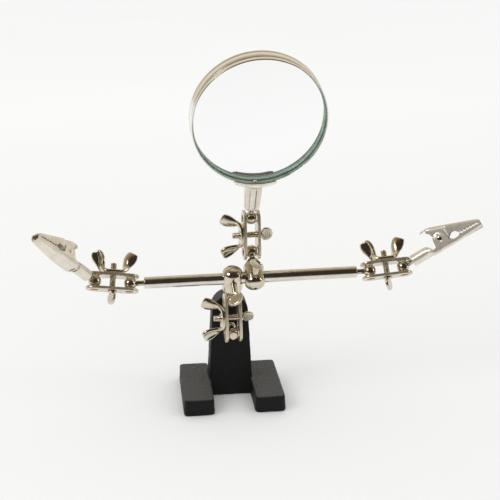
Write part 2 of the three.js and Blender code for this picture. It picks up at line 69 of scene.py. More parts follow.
BALL = 3.05
NECK = 1.2
SHANK = 1.45
COLLAR = SimpleNamespace(start=9.1, chamfer=0.3, height=2.75, face=2.1, radius=2.45)
PLATE = SimpleNamespace(pitch=16.3, half=4.0, inner=2.65, outer=4.0, ball_hole=1.9, bolt_hole=1.7)
BOLT = SimpleNamespace(radius=1.5, pitch=0.62, thread=0.2, tail=5.0, spade=3.45, spade_end=6.4, half=0.8)
SPADE_TURN = {"lower": 40, "upper": 20, "left": 65, "right": -60}
NUT = SimpleNamespace(sheet=1.6, boss=2.3, boss_height=1.9)
SLIDER = SimpleNamespace(radius=4.9, top=6.2, shoulder=-5.6, cone_end=-9.7, tip=2.1, reach=13.7)
THUMB_SPADE = 6.4
THUMB_REACH = {"carrier": 19.2, "magnifier_slider": 16.4}  # from the rod's axis
THUMB_TURN = {"carrier": 35, "magnifier_slider": -35}
ROD = SimpleNamespace(radius=2.73, bore=1.95, lip=0.45)
LENS = SimpleNamespace(ring=30.9, wall=0.8, half=4.6, centre=51.7, seat=0.9, edge=2.2, bulge=1.7)
FERRULE = SimpleNamespace(start=5.3, end=18.7, top=4.2, bottom=3.8, bore=2.1)
SADDLE = SimpleNamespace(outside=32.1, back_lip=28.7, front_lip=30.3, angle=18.5, sheet=0.8, forward=3.3)
BASE = SimpleNamespace(width=49.6, length=43.4)
FOOT = SimpleNamespace(width=15.1, height=8.4, centre=-5.5, corner=1.8, draft=0.35)
POST = SimpleNamespace(half_depth=6.0, height=53.4, top_radius=8.85, bottom_width=22.6)
GUSSET = SimpleNamespace(width=26.1, depth=10.5, height=12, draft=3.2)
CLIP = SimpleNamespace(
    start=5.5,
    barrel_end=13.2,
    barrel=2.3,
    floor=-2.6,
    sheet=0.5,
    channel=17.2,
    tip=41.8,
    half=3.1,
    lever_half=2.35,
    taper=25.6,
    tip_half=1.75,
    pivot_z=22.1,
    pivot_y=2.4,
    ear=3.3,
    top=9.35,
)
TOOTH = SimpleNamespace(pitch=1.6, depth=0.45)
SPRING = SimpleNamespace(coil=1.3, turns=3, half_span=1.1, wire=0.26)

# Ball studs: half the flat pip, end of the neck, shank radius, end of the shank.
STUDS = {
    "base": (1.75, 9.0, SHANK, 19.3),
    "carrier": (0.5, 5, SHANK, SLIDER.reach - ROD.radius - 1.7),
    "magnifier_slider": (0.4, 5, SHANK, SLIDER.reach - ROD.radius - 1.7),
    "magnifier": (0.75, 5.9, SHANK, 10.5),
    "clip": (0.4, 5.6, SHANK, 12.2),
    "rod": (0.5, 6.3, 1.83, 15.2),
}

# ---- Camera and lights: angles in degrees, the rest in metres but for the target and the lens ----

CAMERA = SimpleNamespace(azimuth=-6.95, elevation=18.33, distance=0.48076, lens=72, sensor=36)
CAMERA_TARGET = (9.7, -5.64, 76.15)
LIGHTS_TARGET = (0, 0, 0.08)
LIGHTS = {  # place, size, power, colour
    "key_softbox": ((-0.75, -0.45, 0.75), (0.45, 0.45), 2.4, (1, 0.985, 0.96)),
    "side_strip": ((0.8, -0.25, 0.35), (0.12, 0.5), 0.7, (1, 0.99, 0.97)),
}

# ---- Local frames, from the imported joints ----


def place(joint):
    return Vector(joints[joint]["pos_m"])


def axis(joint):
    return Vector(joints[joint]["axis"]).normalized()


def local_frame(origin, up, near_x):
    """Matrix from local millimetres to the object's frame: Z along up, X as near to near_x as it can be."""
    z = Vector(up).normalized()
    y = z.cross(Vector(near_x)).normalized()
    x = y.cross(z)
    turn = Matrix((x, y, z)).transposed().to_4x4()
    return Matrix.Translation(origin) @ turn @ Matrix.Scale(MM, 4)


def clamp_frame(pitch_joint, nut_joint):
    """First ball at the origin, second ball up Z, wing nut on the -X side."""
    up = place(nut_joint) - place(pitch_joint)
    return local_frame(place(pitch_joint), up, -axis(nut_joint))


def thin_axis(node):
    """The direction across a flat CAD node, pointing to the back."""
    points = np.array([vertex.co for vertex in frame["nodes"][node].data.vertices])
    directions = np.linalg.eigh(np.cov(points.T))[1]
    normal = Vector(directions[:, 0])
    return normal if normal.y > 0 else -normal


# ---- Raw shapes: (vertices, faces) ----


def skin(rings, wrap=False):
    """A closed skin over rings of points: capped at both ends, or joined round end to start."""
    count = len(rings[0])
    points = [point for ring in rings for point in ring]
    faces = []
    spans = len(rings) if wrap else len(rings) - 1
    for i in range(spans):
        a = i * count
        b = ((i + 1) % len(rings)) * count
        for k in range(count):
            n = (k + 1) % count
            faces.append((a + k, a + n, b + n, b + k))
    if not wrap:
        faces.append(tuple(reversed(range(count))))
        faces.append(tuple(range(len(points) - count, len(points))))
    return points, faces


def sheet(rows):
    """An open grid of points, to be thickened."""
    width = len(rows[0])
    points = [point for row in rows for point in row]
    faces = []
    for i in range(len(rows) - 1):
        for k in range(width - 1):
            a = i * width + k
            faces.append((a, a + 1, a + width + 1, a + width))
    return points, faces


def join(*shapes):
    points, faces = [], []
    for shape_points, shape_faces in shapes:
        offset = len(points)
        points += list(shape_points)
        faces += [tuple(index + offset for index in face) for face in shape_faces]
    return points, faces


def moved(shape, matrix):
    return [matrix @ Vector(point) for point in shape[0]], shape[1]


def turn(degrees, about):
    return Matrix.Rotation(math.radians(degrees), 4, about)


def raised(height):
    return Matrix.Translation((0, 0, height))


def circle(radius, z, count=ROUND):
    step = 2 * math.pi / count
    return [(radius * math.cos(step * k), radius * math.sin(step * k), z) for k in range(count)]


def lathe(profile, count=ROUND):
    return skin([circle(radius, z, count) for radius, z in profile])


def hollow(profile, count=ROUND):
    return skin([circle(radius, z, count) for radius, z in profile], wrap=True)


def arc(centre, radius, start, end, steps):
    """Points on an arc in a plane, angles in degrees."""
    points = []
    for i in range(steps + 1):
        angle = math.radians(start + (end - start) * i / steps)
        points.append((centre[0] + radius * math.cos(angle), centre[1] + radius * math.sin(angle)))
    return points


def smooth(t):
    t = min(1.0, max(0.0, t))
    return t * t * (3 - 2 * t)


def mix(a, b, t):
    return a + (b - a) * t


def straight_curve(stations, at):
    if at <= stations[0][0]:
        return stations[0][1]
    for (a, value_a), (b, value_b) in zip(stations, stations[1:]):
        if at <= b:
            return mix(value_a, value_b, (at - a) / (b - a))
    return stations[-1][1]


# ---- Making pieces ----


def object_from(name, shape):
    mesh = bpy.data.meshes.new(name)
    mesh.from_pydata([tuple(point) for point in shape[0]], [], shape[1])
    grid = bmesh.new()
    grid.from_mesh(mesh)
    bmesh.ops.remove_doubles(grid, verts=grid.verts, dist=0.0005)
    bmesh.ops.recalc_face_normals(grid, faces=grid.faces)
    grid.to_mesh(mesh)
    grid.free()
    piece = bpy.data.objects.new(name, mesh)
    bpy.context.scene.collection.objects.link(piece)
    return piece


def thicken(piece, thickness, side=-1, even=True):
    modifier = piece.modifiers.new("sheet", "SOLIDIFY")
    modifier.thickness = thickness
    modifier.offset = side
    modifier.use_even_offset = even


def subdivide(piece, levels):
    modifier = piece.modifiers.new("round", "SUBSURF")
    modifier.levels = levels
    modifier.render_levels = levels


def bevel(piece, width, segments=2, angle=35):
    modifier = piece.modifiers.new("edge", "BEVEL")
    modifier.width = width
    modifier.segments = segments
    modifier.limit_method = "ANGLE"
    modifier.angle_limit = math.radians(angle)
    modifier.harden_normals = False


def cut_by(piece, *cutters):
    for cutter in cutters:
        modifier = piece.modifiers.new("cut", "BOOLEAN")
        modifier.operation = "DIFFERENCE"
        modifier.solver = "EXACT"
        modifier.object = object_from("cutter", cutter)


def bake(piece):
    """Applies the modifiers, so that the piece's mesh is what is shown, then drops its cutters."""
    bpy.context.view_layer.update()
    evaluated = piece.evaluated_get(bpy.context.evaluated_depsgraph_get())
    mesh = bpy.data.meshes.new_from_object(evaluated)
    cutters = [modifier.object for modifier in piece.modifiers if modifier.type == "BOOLEAN"]
    piece.modifiers.clear()
    piece.data = mesh
    for cutter in cutters:
        bpy.data.objects.remove(cutter)


def merged(piece, other):
    """Adds another object's mesh to a piece."""
    grid = bmesh.new()
    grid.from_mesh(piece.data)
    grid.from_mesh(other.data)
    grid.to_mesh(piece.data)
    grid.free()
    bpy.data.objects.remove(other)
    return piece


def settle(piece, matrix, body, node, slot, material, sharp=38):
    """Bakes a piece, sets it in its place, and ties it to its body, CAD node and material; the slot is not
    used.
    """
    bake(piece)
    piece.data.transform(matrix)
    piece.data.polygons.foreach_set("use_smooth", [True] * len(piece.data.polygons))
    piece.data.set_sharp_from_angle(angle=math.radians(sharp))
    piece.data.materials.clear()
    piece.data.materials.append(material)
    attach(piece, body)
    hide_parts(node)
    return piece


def paint(piece, material, chosen):
    """Gives the chosen faces a second material."""
    piece.data.materials.append(material)
    piece.data.polygons.foreach_set("material_index", [int(face) for face in chosen])


# ---- Materials ----


class Nodes:
    """The node tree of a material or of the world, with short calls for what repeats."""

    def __init__(self, owner, shader="Principled BSDF", coordinates="Object"):
        owner.use_nodes = True
        self.owner = owner
        self.tree = owner.node_tree
        self.shader = self.tree.nodes[shader]
        self.place = self.new("TexCoord").outputs[coordinates]

    def new(self, kind):
        return self.tree.nodes.new("ShaderNode" + kind)

    def feed(self, socket, value):
        """Gives a socket a number, a colour or another node's output."""
        if isinstance(value, (int, float)):
            socket.default_value = value
        elif isinstance(value, tuple):
            socket.default_value = (*value, 1)
        else:
            self.tree.links.new(value, socket)

    def set(self, name, value):
        self.feed(self.shader.inputs[name], value)

    def noise(self, scale, detail=4, stretch=(1, 1, 1), rough=0.55):
        mapping = self.new("Mapping")
        mapping.inputs["Scale"].default_value = stretch
        self.feed(mapping.inputs["Vector"], self.place)
        texture = self.new("TexNoise")
        self.feed(texture.inputs["Scale"], scale)
        self.feed(texture.inputs["Detail"], detail)
        self.feed(texture.inputs["Roughness"], rough)
        self.feed(texture.inputs["Vector"], mapping.outputs["Vector"])
        return texture.outputs["Fac"]

    def ramp(self, source, stops):
        """stops: (position, value or colour)."""
        node = self.new("ValToRGB")
        elements = node.color_ramp.elements
        while len(elements) < len(stops):
            elements.new(0.5)
        for element, (position, colour) in zip(elements, stops):
            element.position = position
            rgb = colour if isinstance(colour, tuple) else (colour,) * 3
            element.color = (*rgb, 1)
        self.feed(node.inputs["Fac"], source)
        return node.outputs["Color"]

    def blend(self, fac, first, second, kind="MIX"):
        node = self.new("Mix")
        node.data_type = "RGBA"
        node.blend_type = kind
        for socket, value in ((0, fac), (6, first), (7, second)):
            self.feed(node.inputs[socket], value)
        return node.outputs[2]

    def bump(self, height, strength, distance):
        node = self.new("Bump")
        self.feed(node.inputs["Strength"], strength)
        self.feed(node.inputs["Distance"], distance)
        self.feed(node.inputs["Height"], height)
        self.set("Normal", node.outputs["Normal"])

    def part(self, vector, letter):
        """One component of a vector."""
        split = self.new("SeparateXYZ")
        self.feed(split.inputs["Vector"], vector)
        return split.outputs[letter]

    def along_y(self, low, high):
        """0 at the place low on the Y axis, 1 at high."""
        spread = self.new("MapRange")
        self.feed(spread.inputs["From Min"], low)
        self.feed(spread.inputs["From Max"], high)
        self.feed(spread.inputs["Value"], self.part(self.place, "Y"))
        return spread.outputs["Result"]

    def rays(self, operation, first, second):
        """Two kinds of ray, each 0 or 1, put together."""
        path = self.new("LightPath")
        node = self.new("Math")
        node.operation = operation
        node.use_clamp = operation == "SUBTRACT"
        self.feed(node.inputs[0], path.outputs[first])
        self.feed(node.inputs[1], path.outputs[second])
        return node.outputs["Value"]

    def mirror_rays(self):
        """1 for a ray bounced off a shiny face; 0 for the others, and for one bent through the lens."""
        return self.rays("SUBTRACT", "Is Glossy Ray", "Is Transmission Ray")


def plated(name, light, dark, rough_low, rough_high, grain=1500, stretch=(1, 1, 1), bump=0.06, metallic=1.0):
    """Nickel plate over steel: a drifting tint, dull patches, fine polishing marks, and brown painted shade in
    the hollows.
    """
    nodes = Nodes(bpy.data.materials.new(name))
    drift = nodes.ramp(nodes.noise(260, 5), [(0.35, light), (0.72, dark)])
    # Painted shade: hollows, found by pointiness, are darkened to brown.
    pointiness = nodes.new("NewGeometry").outputs["Pointiness"]
    hollows = nodes.ramp(pointiness, [(0.44, 0.0), (0.5, 1.0)])
    hollow_shade = tuple(channel * 0.45 for channel in dark)
    nodes.set("Base Color", nodes.blend(hollows, hollow_shade, drift))
    marks = nodes.noise(grain, 6, stretch)
    rough = nodes.ramp(nodes.noise(420, 6, rough=0.7), [(0.3, rough_low), (0.75, rough_high)])
    nodes.set("Roughness", rough)
    nodes.set("Metallic", metallic)
    nodes.bump(marks, bump, 0.0004)
    return nodes.owner


def cast_paint(name):
    """Black stoving paint on a sand casting: fine grain, top faces painted greyer and duller as if lit from
    above, with scuffs.
    """
    nodes = Nodes(bpy.data.materials.new(name))
    normal = nodes.new("NewGeometry").outputs["Normal"]
    # Painted light: faces turned up get a lighter grey, as if lit from above.
    lit_from_above = nodes.ramp(nodes.part(normal, "Z"), [(0.3, 0.0), (0.95, 1.0)])
    grain = nodes.noise(950, 9, rough=0.8)
    black = nodes.ramp(grain, [(0.3, (0.003, 0.003, 0.003)), (0.75, (0.009, 0.009, 0.009))])
    painted_top_light = nodes.ramp(grain, [(0.36, (0.026, 0.027, 0.026)), (0.64, (0.105, 0.106, 0.102))])
    colour = nodes.blend(lit_from_above, black, painted_top_light)
    scuffs = nodes.ramp(nodes.noise(500, 10, (1, 0.4, 2), rough=0.8), [(0.66, 0.0), (0.74, 0.35)])
    nodes.set("Base Color", nodes.blend(scuffs, colour, (0.12, 0.12, 0.115)))
    nodes.set("Roughness", nodes.ramp(nodes.noise(700, 5), [(0.3, 0.42), (0.7, 0.62)]))
    nodes.set("Specular IOR Level", 0.2)
    nodes.bump(grain, 0.6, 0.0005)
    return nodes.owner


def lens_glass(name):
    """Clear glass, faintly green, that lets light through to the floor."""
    nodes = Nodes(bpy.data.materials.new(name))
    tint = nodes.ramp(nodes.noise(90, 2), [(0.3, (0.985, 0.995, 0.99)), (0.7, (0.995, 1.0, 0.997))])
    nodes.set("Base Color", tint)
    nodes.set("Roughness", nodes.ramp(nodes.noise(300, 3), [(0.4, 0.0), (0.8, 0.012)]))
    nodes.set("Transmission Weight", 1.0)
    nodes.set("IOR", 1.5)
    clear = nodes.new("BsdfTransparent")
    nodes.feed(clear.inputs["Color"], (0.98, 0.99, 0.985))
    either = nodes.new("MixShader")
    nodes.feed(either.inputs["Fac"], nodes.rays("MAXIMUM", "Is Shadow Ray", "Is Diffuse Ray"))
    nodes.feed(either.inputs[1], nodes.shader.outputs["BSDF"])
    nodes.feed(either.inputs[2], clear.outputs["BSDF"])
    nodes.feed(nodes.tree.nodes["Material Output"].inputs["Surface"], either.outputs["Shader"])
    return nodes.owner


def ground_rim(name):
    """The lens's ground edge: dark bottle green, seen through the glass."""
    nodes = Nodes(bpy.data.materials.new(name))
    depth = nodes.noise(160, 4, (1, 1, 3))
    nodes.set("Base Color", nodes.ramp(depth, [(0.3, (0.06, 0.11, 0.08)), (0.7, (0.16, 0.27, 0.2))]))
    nodes.set("Roughness", 0.25)
    return nodes.owner


bright_nickel = plated("bright_nickel_plate", (0.76, 0.70, 0.585), (0.62, 0.54, 0.415), 0.06, 0.2)
rod_nickel = plated(
    "rod_nickel_plate", (0.80, 0.765, 0.70), (0.70, 0.65, 0.56), 0.07, 0.16, grain=900, stretch=(0.08, 1, 1))
ring_nickel = plated("ring_nickel_plate", (0.97, 0.945, 0.90), (0.90, 0.87, 0.81), 0.12, 0.24)
plate_nickel = plated(
    "clamp_plate_nickel", (0.78, 0.70, 0.56), (0.58, 0.50, 0.37), 0.16, 0.32, bump=0.04, metallic=0.85)
satin_nickel = plated(
    "satin_nickel_plate", (0.83, 0.775, 0.68), (0.72, 0.655, 0.555), 0.24, 0.36, bump=0.015, metallic=0.68)
saddle_nickel = plated("saddle_nickel_plate", (0.90, 0.86, 0.78), (0.76, 0.71, 0.62), 0.2, 0.34, metallic=0.4)
# Painted shade: dark brown for the saddle's back lip.
back_lip_shade = plated("saddle_back_lip_painted_shade", (0.16, 0.135, 0.10), (0.07, 0.055, 0.04), 0.3, 0.5, metallic=0.5)
# Painted shade: dark green for the ring's inner wall, as seen through the lens.
ring_inside_shade = plated("ring_inside_painted_shade", (0.36, 0.46, 0.38), (0.2, 0.28, 0.22), 0.15, 0.3, metallic=0.6)
spring_wire = plated("spring_wire_steel", (0.55, 0.54, 0.52), (0.4, 0.39, 0.36), 0.2, 0.35)
black_casting = cast_paint("black_cast_paint")
clear_glass = lens_glass("lens_clear_glass")
green_rim = ground_rim("lens_ground_rim")

# ---- Base ----


def drafted_block(width, length, height, draft):
    def ring(inset, z):
        x, y = width / 2 - inset, length / 2 - inset
        return [(-x, -y, z), (x, -y, z), (x, y, z), (-x, y, z)]

    return skin([ring(0, 0), ring(draft, height)])


def foot_shape():
    """One foot with rounded upright corners, its top a little smaller than its underside."""
    def ring(inset, z):
        corner = FOOT.corner
        x = FOOT.width / 2 - corner - inset
        y = BASE.length / 2 - corner - inset
        centres = [(x, y), (-x, y), (-x, -y), (x, -y)]
        points = []
        for k, centre in enumerate(centres):
            points += arc(centre, corner, 90 * k, 90 * k + 90, 6)
        return [(px, py, z) for px, py in points]

    return skin([ring(0.3, 0), ring(0, 0.4), ring(FOOT.draft, FOOT.height)])


def post_shape():
    """The upright post: tapering sides, round top, its faces drawn in a little towards the top."""
    shoulder = POST.height - POST.top_radius
    half = POST.bottom_width / 2
    outline = [(-half, 0), (half, 0)] + arc((0, shoulder), POST.top_radius, 0, 180, 28)

    def ring(side):
        depth = POST.half_depth
        return [(x, side * (depth - 0.5 * z / POST.height), z) for x, z in reversed(outline)]

    return skin([ring(1), ring(-1)])


def build_base():
    place_x = (BASE.width - FOOT.width) / 2
    spots = [Matrix.Translation((x, FOOT.centre, 0)) for x in (-place_x, place_x)]
    feet = [moved(foot_shape(), spot) for spot in spots]
    gusset = drafted_block(GUSSET.width, GUSSET.depth, GUSSET.height, GUSSET.draft)
    casting = object_from("base", join(post_shape(), gusset, *feet))
    remesh = casting.modifiers.new("cast", "REMESH")
    remesh.mode = "VOXEL"
    remesh.voxel_size = 0.55
    soften = casting.modifiers.new("soften", "SMOOTH")
    soften.factor = 0.5
    soften.iterations = 5
    skin_texture = bpy.data.textures.new("sand", "CLOUDS")
    skin_texture.noise_scale = 1.6
    grain = casting.modifiers.new("sand", "DISPLACE")
    grain.texture = skin_texture
    grain.texture_coords = "LOCAL"
    grain.strength = 0.24
    settle(casting, Matrix.Scale(MM, 4), "base", "base_casting", "black_casting", black_casting, sharp=70)


# ---- Ball studs: ball at the origin, shank up Z ----


def ball_profile(pip):
    """Sphere from its flat pip up to the neck."""
    start = math.degrees(math.acos(pip / BALL))
    end = math.degrees(math.acos(NECK / BALL))
    return arc((0, 0), BALL, -start, end, 22)


def stud_shape(pip, neck_end, shank, shank_end):
    profile = ball_profile(pip)
    profile += [(NECK + 0.05, profile[-1][1] + 0.25), (NECK, neck_end - 0.2), (shank - 0.12, neck_end)]
    profile += [(shank, neck_end + 0.12), (shank, shank_end - 0.2), (shank - 0.2, shank_end)]
    return lathe(profile)


def hexagon(radius, z):
    return [(radius * math.cos(math.pi * k / 3), radius * math.sin(math.pi * k / 3), z) for k in range(6)]


def build_studs():
    rings = [(COLLAR.face, 0), (COLLAR.radius, COLLAR.chamfer), (COLLAR.radius, COLLAR.height)]
    collar = skin([hexagon(radius, COLLAR.start + rise) for radius, rise in rings])
    at = local_frame(place("base_ball_roll"), axis("base_ball_roll"), (1, 0, 0))
    stud = object_from("base_stud", join(stud_shape(*STUDS["base"]), collar))
    bevel(stud, 0.08, 2, 25)
    settle(stud, at, "base_stud", "base_ball_stud", "bright_nickel", bright_nickel)

    up = -axis("magnifier_slider_roll")
    spots = [
        ("carrier", "carrier_stud", "carrier_ball_stud", "carrier_pitch", axis("carrier_roll")),
        ("magnifier_slider", "magnifier_slider_stud", "magnifier_slider_ball_stud", "upper_clamp_pitch", up),
        ("magnifier", "magnifier_stud", "magnifier_ball_stud", "magnifier_pitch", axis("magnifier_roll")),
    ]
    for side in ("left", "right"):
        roll, pitch = f"{side}_clip_roll", f"{side}_clamp_pitch"
        inwards = place(f"{side}_rod_ball_roll") - place(pitch)
        spots.append(("clip", f"{side}_clip_stud", f"{side}_clip_ball_stud", roll, axis(roll)))
        spots.append(("rod", f"{side}_rod_ball", f"cross_rod_{side}_ball", pitch, inwards))
    for kind, body, node, ball_joint, up in spots:
        at = local_frame(place(ball_joint), up, (0.3, 1, 0.2))
        stud = object_from(node + "_look", stud_shape(*STUDS[kind]))
        settle(stud, at, body, node, "bright_nickel", bright_nickel)


# ---- Two-plate ball clamps ----


def plate_outline(inset, x):
    """Round-ended bar seen along X, drawn in by an inset."""
    radius = PLATE.half - inset
    ends = arc((0, 0), radius, 180, 360, 16) + arc((0, PLATE.pitch), radius, 0, 180, 16)
    return [(x, y, z) for y, z in ends]


def hole_cutter(z, radius, low, high):
    """A hole along X with a small chamfer at both faces."""
    chamfer = 0.22
    profile = [
        (radius + chamfer + 0.3, low - 0.3),
        (radius + chamfer, low),
        (radius, low + chamfer),
        (radius, high - chamfer),
        (radius + chamfer, high),
        (radius + chamfer + 0.3, high + 0.3),
    ]
    return moved(lathe(profile, 28), raised(z) @ turn(90, "Y"))


def plate_piece(name, side):
    low, high = sorted((side * PLATE.inner, side * PLATE.outer))
    edge = [(0.3, 0), (0.08, 0.1), (0, 0.3)]  # inset, distance from the face
    rings = [plate_outline(inset, low + depth) for inset, depth in edge]
    rings += [plate_outline(inset, high - depth) for inset, depth in reversed(edge)]
    plate = object_from(name, skin(rings))
    holes = [(0, PLATE.ball_hole), (PLATE.pitch / 2, PLATE.bolt_hole), (PLATE.pitch, PLATE.ball_hole)]
    cut_by(plate, *[hole_cutter(z, radius, low, high) for z, radius in holes])
    return plate


def rounded_ring(half_width, half_thick, z, power, count=32):
    """A ring between a circle (power 2) and a rounded rectangle (higher powers)."""
    ring = []
    for k in range(count):
        angle = 2 * math.pi * k / count
        c, s = math.cos(angle), math.sin(angle)
        x = math.copysign(abs(c) ** (2 / power), c) * half_width
        y = math.copysign(abs(s) ** (2 / power), s) * half_thick
        ring.append((x, y, z))
    return ring


def threaded_rings(start, end, count=32):
    rings = []
    steps = int((end - start) / BOLT.pitch * 6)
    for i in range(steps + 1):
        z = start + (end - start) * i / steps
        ring = []
        for k in range(count):
            phase = (z / BOLT.pitch - k / count) % 1
            ends = smooth((z - start) / 0.5)
            radius = BOLT.radius - BOLT.thread * abs(2 * phase - 1) * ends - 0.2 * (1 - ends)
            angle = 2 * math.pi * k / count
            ring.append((radius * math.cos(angle), radius * math.sin(angle), z))
        rings.append(ring)
    return rings


def spade_rings(start, end):
    """A round-ended thumb grip with ridges across both faces."""
    radius = BOLT.spade
    middle = end - radius
    rings = []
    steps = 44
    for i in range(1, steps + 1):
        z = start + (end - start) * i / steps
        across = math.sqrt(max(radius**2 - (z - middle) ** 2, 0.05))
        neck = mix(BOLT.radius, radius * 0.45, smooth((z - start) / 1.6))
        opening = smooth((z - start) / (middle - start) + 0.25)
        half_width = across if z > middle else max(neck, across * opening)
        body = smooth((z - start) / 1.2)
        half_thick = mix(BOLT.radius, BOLT.half, body)
        reach = (z - middle) / radius
        ridges = 0.5 - 0.5 * math.cos((z - middle) * 2 * math.pi / 0.98)
        fade = smooth((0.88 - abs(reach)) / 0.12)
        half_thick -= 0.17 * ridges * fade * body
        half_thick *= mix(1, 0.55, smooth((reach - 0.75) / 0.25))
        rings.append(rounded_ring(half_width, half_thick, z, mix(2, 5.5, body)))
    return rings


def bolt_piece(name):
    """Clamp bolt along Z: threaded shank with a slotted tail, a seat under its spade."""
    face = PLATE.outer
    rings = threaded_rings(-face - BOLT.tail, face - 0.4)
    rings += spade_rings(face + 0.3, face + BOLT.spade_end)
    seat = lathe([(1.9, face + 0.1), (2.15, face + 0.2), (2.15, face + 0.75), (1.8, face + 0.95)], 28)
    bolt = object_from(name, join(skin(rings), seat))
    slot = drafted_block(0.62, 5, 0.9, 0)
    cut_by(bolt, moved(slot, raised(-face - BOLT.tail - 0.02)))
    return bolt


def thumb_piece(name, reach):
    """Thumb screw along Z, from its tip at the rod to the end of its spade."""
    start = reach - THUMB_SPADE
    rings = threaded_rings(ROD.radius + 0.25, start - 1.2) + spade_rings(start - 0.8, reach)
    return object_from(name, skin(rings))


def wing_nut_piece(name):
    """Stamped wing nut: a flat strap with a spoon-shaped ear twisted up at each end, and a threaded boss."""
    path = [
        (0.0, 0.7), (1.6, 0.7), (3.2, 0.8), (4.4, 1.1), (5.2, 1.75), (5.75, 2.6), (6.2, 3.55),
        (6.7, 4.55), (7.2, 5.6), (7.75, 6.65), (8.25, 7.65), (8.75, 8.55), (9.2, 9.35), (9.5, 9.95),
    ]
    line = [(-out, height) for out, height in reversed(path[1:])] + path
    half_widths = [4.1, 4.05, 3.8, 3.3, 2.7, 2.3, 2.15, 2.3, 2.6, 2.8, 2.85, 2.75, 2.45, 1.8]
    twists = [0, 0, 0, 4, 14, 30, 46, 58, 66, 70, 72, 72, 72, 72]
    cups = [0.0, 0.0, 0.05, 0.15, 0.3, 0.45, 0.6, 0.8, 1.0, 1.05, 1.0, 0.75, 0.45, 0.2]
    middle = len(path) - 1
    across_steps = 10
    rows = []
    for index, (out, height) in enumerate(line):
        rank = abs(index - middle)
        side = 1 if index >= middle else -1
        before = line[max(index - 1, 0)]
        after = line[min(index + 1, len(line) - 1)]
        run = Vector((0, after[0] - before[0], after[1] - before[1])).normalized()
        normal = run.cross(Vector((1, 0, 0)))
        twist = math.radians(twists[rank]) * side
        width_way = Vector((math.cos(twist), 0, 0)) + normal * math.sin(twist)
        face_way = normal * math.cos(twist) - Vector((math.sin(twist), 0, 0))
        inward = 0.25 * half_widths[rank] * abs(math.sin(twist))
        row = []
        for k in range(across_steps + 1):
            u = 2 * k / across_steps - 1
            rim = max(abs(u) - 0.72, 0) * 1.2 * cups[rank]
            point = Vector((0, out, height)) + width_way * (u * half_widths[rank]) - normal * inward
            point += face_way * ((cups[rank] * (u * u - 0.5) + rim) * 0.9)
            row.append(point)
        rows.append(row)
    nut = object_from(name, sheet(rows))
    thicken(nut, NUT.sheet, 0)
    subdivide(nut, 1)
    bore = BOLT.radius + 0.22
    cut_by(nut, lathe([(bore, -3), (bore, 6)], 28))
    bake(nut)
    radius, top = NUT.boss, NUT.boss_height
    profile = [(bore - 0.04, 0.35), (radius - 0.1, 0.35), (radius + 0.15, 0.6), (radius, top - 0.2)]
    profile += [(radius - 0.2, top), (bore + 0.15, top), (bore - 0.04, top - 0.2)]
    collar = object_from(name + "_boss", hollow(profile, 28))
    return merged(nut, collar)


def build_clamp(body, at, nut_body, sides, spade_turn):
    """sides: the names of the plates on the nut's side and on the spade's side."""
    for side, label in zip((-1, 1), sides):
        node = f"{body}_{label}_plate"
        settle(plate_piece(node + "_look", side), at, body, node, "clamp_plate", plate_nickel)
    middle = at @ raised(PLATE.pitch / 2)
    bolt_at = middle @ turn(90, "Y") @ turn(spade_turn, "Z")
    node = f"{body}_bolt"
    settle(bolt_piece(node + "_look"), bolt_at, body, node, "bright_nickel", bright_nickel, sharp=50)
    # The nut is drawn with its ears along Y and standing up Z: turn it to stand out along -X.
    stand = turn(-90, "Y") @ turn(90, "Z")
    nut_at = middle @ Matrix.Translation((-PLATE.outer - 0.05, 0, 0)) @ stand
    node = f"{body}_wing_nut"
    settle(wing_nut_piece(node + "_look"), nut_at, nut_body, node, "bright_nickel", bright_nickel, sharp=55)


def build_clamps():
    upright = ("left", "right")
    lying = ("top", "bottom")
    for which, sides in (("lower", upright), ("upper", upright), ("left", lying), ("right", lying)):
        body, nut_body = f"{which}_clamp", f"{which}_wing_nut"
        at = clamp_frame(f"{which}_clamp_pitch", f"{nut_body}_spin")
        build_clamp(body, at, nut_body, sides, SPADE_TURN[which])


# ---- Rod and sliders ----


def build_rod():
    left, right = place("left_rod_ball_roll"), place("right_rod_ball_roll")
    length = (right - left).length / MM
    radius, bore, lip = ROD.radius, ROD.bore, ROD.lip
    end = [(bore, 0.15), (bore + 0.15, 0), (radius - lip, 0)]
    end += [(radius - lip + lip * math.sin(a), lip - lip * math.cos(a)) for a in (0.4, 0.8, 1.2, 1.57)]
    steps = 24
    along = [(radius, lip + (length - 2 * lip) * i / steps) for i in range(1, steps)]
    other_end = [(across, length - z) for across, z in reversed(end)]
    rod = object_from("rod", hollow(end + along + other_end, 56))
    at = local_frame(left, right - left, (0, 0, 1))
    settle(rod, at, "rod", "cross_rod", "bright_nickel", rod_nickel)


def barrel_piece(name):
    """Slider barrel: domed top, waisted sides, a cone at the ball end, and a cross hole for the rod."""
    radius, top, tip = SLIDER.radius, SLIDER.top, SLIDER.tip
    shoulder, cone_end = SLIDER.shoulder, SLIDER.cone_end
    profile = [(tip - 0.25, cone_end), (tip, cone_end + 0.25), (radius - 0.55, shoulder - 0.75)]
    profile += [(radius - 0.12, shoulder - 0.1), (radius, shoulder + 0.5), (radius, 0.0)]
    dome = [(radius * math.cos(a), top - 3.6 + 3.6 * math.sin(a)) for a in [k * 0.15 for k in range(10)]]
    profile += dome + [(0.6, top - 0.01)]
    barrel = object_from(name, lathe(profile, 56))
    rod_hole = moved(lathe([(ROD.radius + 0.12, -7), (ROD.radius + 0.12, 7)], 48), turn(90, "Y"))
    screw_hole = moved(lathe([(1.62, 0.1), (1.62, 7)], 28), turn(90, "X"))
    stud_hole = lathe([(SHANK + 0.1, cone_end - 1), (SHANK + 0.1, -4.2)], 28)
    cut_by(barrel, rod_hole, screw_hole, stud_hole)
    bevel(barrel, 0.14, 2, 40)
    return barrel


